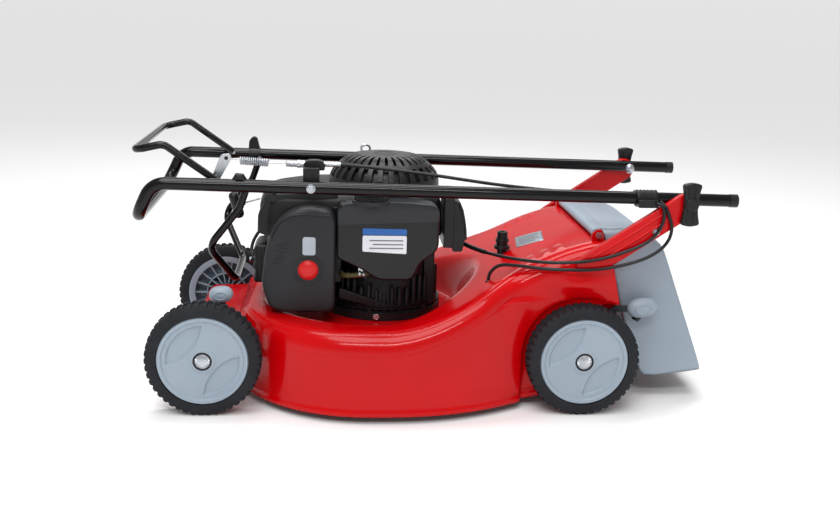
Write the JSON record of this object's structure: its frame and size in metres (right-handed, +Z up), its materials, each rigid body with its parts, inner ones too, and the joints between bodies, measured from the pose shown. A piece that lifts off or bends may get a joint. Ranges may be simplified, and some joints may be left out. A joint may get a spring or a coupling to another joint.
{
  "type": "walk-behind rotary lawn mower",
  "caption": "Walk-behind petrol rotary mower with a pressed steel deck, adjustable wheels, rear flap and a folded handle with two bails.",
  "frame": {"origin": "on the ground under the middle of the folded machine", "axes": "+X forward, +Y to the left side, +Z up"},
  "size_m": [1.0512, 0.5538, 0.4671],
  "materials": {
    "red_steel": "glossy red paint on pressed steel",
    "black_tube": "glossy black paint on steel tube",
    "grey_plastic": "satin blue-grey plastic",
    "tyre_rubber": "black tyre rubber",
    "black_plastic": "black moulded plastic",
    "dark_plastic": "dark grey moulded plastic",
    "tank_plastic": "black tank plastic with a satin sheen",
    "primer_rubber": "soft red rubber",
    "zinc": "bright zinc plate",
    "cast_alloy": "cast aluminium",
    "dark_steel": "oiled steel",
    "hose_rubber": "olive brown fuel hose",
    "foam": "grey filter foam",
    "belt_rubber": "V-belt rubber",
    "cable_jacket": "black cable jacket",
    "rope": "light braided rope"
  },
  "bodies": {
    "chassis": {"deck_shell": "red_steel", "discharge_ramp": "red_steel", "handle_bracket_left": "red_steel", "handle_bracket_right": "red_steel", "wash_port": "black_plastic", "flap_rod": "zinc", "crankcase": "cast_alloy", "cylinder_block": "cast_alloy", "spark_plug": "zinc", "muffler": "dark_steel", "blower_housing": "black_plastic", "recoil_cover": "black_plastic", "rear_guard": "black_plastic", "fuel_tank": "tank_plastic", "fuel_hose": "hose_rubber", "carburettor": "cast_alloy", "air_filter_cover": "dark_plastic", "air_filter_element": "foam", "gearbox": "cast_alloy", "drive_belt": "belt_rubber", "brake_cable_loop": "cable_jacket", "drive_cable_loop": "cable_jacket"},
    "handle": {"handle_bar": "black_tube", "cable_clip": "black_plastic", "cable_bracket": "black_plastic", "drive_cable_rail": "cable_jacket", "pivot_bolt_left": "zinc", "pivot_bolt_right": "zinc"},
    "drive_bail": {"drive_bail": "black_tube"},
    "brake_bail": {"brake_bail": "black_tube"},
    "drive_cable_end": {"cable_spring": "zinc"},
    "fold_knob_left": {"fold_knob_left": "black_plastic"},
    "fold_knob_right": {"fold_knob_right": "black_plastic"},
    "front_axle": {"front_axle": "zinc", "front_lever_knob": "grey_plastic"},
    "rear_axle": {"rear_axle": "zinc", "rear_lever_knob": "grey_plastic"},
    "front_left_wheel": {"front_left_tyre": "tyre_rubber", "front_left_disc": "grey_plastic"},
    "front_right_wheel": {"front_right_tyre": "tyre_rubber", "front_right_disc": "grey_plastic"},
    "rear_left_wheel": {"rear_left_tyre": "tyre_rubber", "rear_left_disc": "grey_plastic"},
    "rear_right_wheel": {"rear_right_tyre": "tyre_rubber", "rear_right_disc": "grey_plastic"},
    "flap": {"discharge_flap": "grey_plastic"},
    "crankshaft": {"crankshaft": "dark_steel", "flywheel": "cast_alloy", "blade_carrier": "cast_alloy", "blade": "dark_steel", "blade_bolt": "zinc"},
    "starter_pulley": {"starter_pulley": "dark_plastic"},
    "starter_grip": {"starter_grip": "black_plastic", "starter_rope": "rope"},
    "engine_brake": {"engine_brake_lever": "dark_steel"},
    "fuel_cap": {"fuel_cap": "black_plastic"},
    "dipstick": {"dipstick": "black_plastic"},
    "primer": {"primer_bulb": "primer_rubber"},
    "gearbox_pulley": {"gearbox_pulley": "dark_steel"},
    "drive_shaft": {"drive_shaft": "dark_steel"}
  },
  "joints": [
    {"name": "handle_fold", "type": "hinge", "parent": "chassis", "child": "handle", "pos_m": [-0.4324, 0, 0.381], "axis": [0, -1, 0], "range_deg": [0, 150], "deforming": ["brake_cable_loop", "drive_cable_loop"]},
    {"name": "drive_bail_squeeze", "type": "hinge", "parent": "handle", "child": "drive_bail", "pos_m": [0.3826, 0, 0.402], "axis": [0, 1, 0], "range_deg": [0, 38], "stiffness_Nm_per_rad": 0.6, "springref_deg": -51.57},
    {"name": "brake_bail_squeeze", "type": "hinge", "parent": "handle", "child": "brake_bail", "pos_m": [0.3306, 0, 0.39], "axis": [0, -1, 0], "range_deg": [0, 57], "stiffness_Nm_per_rad": 0.6, "springref_deg": -51.57},
    {"name": "drive_cable_pull", "type": "hinge", "parent": "drive_bail", "child": "drive_cable_end", "pos_m": [0.3666, 0.145, 0.437], "axis": [0, 1, 0], "range_deg": [-40, 0]},
    {"name": "fold_knob_left_turn", "type": "hinge", "parent": "handle", "child": "fold_knob_left", "pos_m": [-0.4324, 0.218, 0.381], "axis": [0, 1, 0], "continuous": true},
    {"name": "fold_knob_right_turn", "type": "hinge", "parent": "handle", "child": "fold_knob_right", "pos_m": [-0.4324, -0.218, 0.381], "axis": [0, 1, 0], "continuous": true},
    {"name": "front_height", "type": "hinge", "parent": "chassis", "child": "front_axle", "pos_m": [0.3696, 0, 0.077], "axis": [0, 1, 0], "range_deg": [0, 69]},
    {"name": "rear_height", "type": "hinge", "parent": "chassis", "child": "rear_axle", "pos_m": [-0.2084, 0, 0.077], "axis": [0, -1, 0], "range_deg": [0, 47]},
    {"name": "front_left_spin", "type": "hinge", "parent": "front_axle", "child": "front_left_wheel", "pos_m": [0.4026, 0.2145, 0.1], "axis": [0, 1, 0], "continuous": true},
    {"name": "front_right_spin", "type": "hinge", "parent": "front_axle", "child": "front_right_wheel", "pos_m": [0.4026, -0.2145, 0.1], "axis": [0, 1, 0], "continuous": true},
    {"name": "rear_left_spin", "type": "hinge", "parent": "rear_axle", "child": "rear_left_wheel", "pos_m": [-0.2604, 0.2145, 0.1], "axis": [0, 1, 0], "continuous": true},
    {"name": "rear_right_spin", "type": "hinge", "parent": "rear_axle", "child": "rear_right_wheel", "pos_m": [-0.2604, -0.2145, 0.1], "axis": [0, 1, 0], "continuous": true},
    {"name": "flap_open", "type": "hinge", "parent": "chassis", "child": "flap", "pos_m": [-0.2894, 0, 0.312], "axis": [0, 1, 0], "range_deg": [0, 65], "stiffness_Nm_per_rad": 1.2, "springref_deg": -91.67},
    {"name": "crankshaft_spin", "type": "hinge", "parent": "chassis", "child": "crankshaft", "pos_m": [0.0876, 0, 0.2], "axis": [0, 0, 1], "continuous": true},
    {"name": "gearbox_pulley_spin", "type": "hinge", "parent": "chassis", "child": "gearbox_pulley", "pos_m": [-0.1954, 0.101, 0.104], "axis": [0, 0, 1], "continuous": true},
    {"name": "drive_shaft_spin", "type": "hinge", "parent": "chassis", "child": "drive_shaft", "pos_m": [-0.2084, 0, 0.077], "axis": [0, 1, 0], "continuous": true},
    {"name": "starter_pull", "type": "slide", "parent": "chassis", "child": "starter_grip", "axis": [0.9536, 0, -0.301], "range_m": [0, 0.5], "stiffness_N_per_m": 8, "springref_m": -0.3, "deforming": ["starter_rope"]},
    {"name": "starter_pulley_spin", "type": "hinge", "parent": "chassis", "child": "starter_pulley", "pos_m": [0.0876, 0, 0.379], "axis": [0, 0, 1], "range_deg": [0, 800]},
    {"name": "engine_brake_release", "type": "hinge", "parent": "chassis", "child": "engine_brake", "pos_m": [-0.0044, 0.005, 0.295], "axis": [0, 0, 1], "range_deg": [0, 4]},
    {"name": "fuel_cap_turn", "type": "hinge", "parent": "chassis", "child": "fuel_cap", "pos_m": [0.1156, 0.138, 0.372], "axis": [0, 0, 1], "range_deg": [0, 90]},
    {"name": "dipstick_pull", "type": "slide", "parent": "chassis", "child": "dipstick", "axis": [-0.0993, -0.7036, 0.7036], "range_m": [0, 0.1]},
    {"name": "primer_push", "type": "slide", "parent": "chassis", "child": "primer", "axis": [0, -1, 0], "range_m": [0, 0.006], "stiffness_N_per_m": 900, "springref_m": -0.001}
  ],
  "couplings": [
    {"joint": "drive_cable_pull", "follows": "drive_bail_squeeze", "ratio": -1.04},
    {"joint": "engine_brake_release", "follows": "brake_bail_squeeze", "ratio": 0.0625},
    {"joint": "starter_pulley_spin", "follows": "starter_pull", "rad_per_m": 26.3},
    {"joint": "gearbox_pulley_spin", "follows": "crankshaft_spin", "ratio": 1.1961}
  ]
}
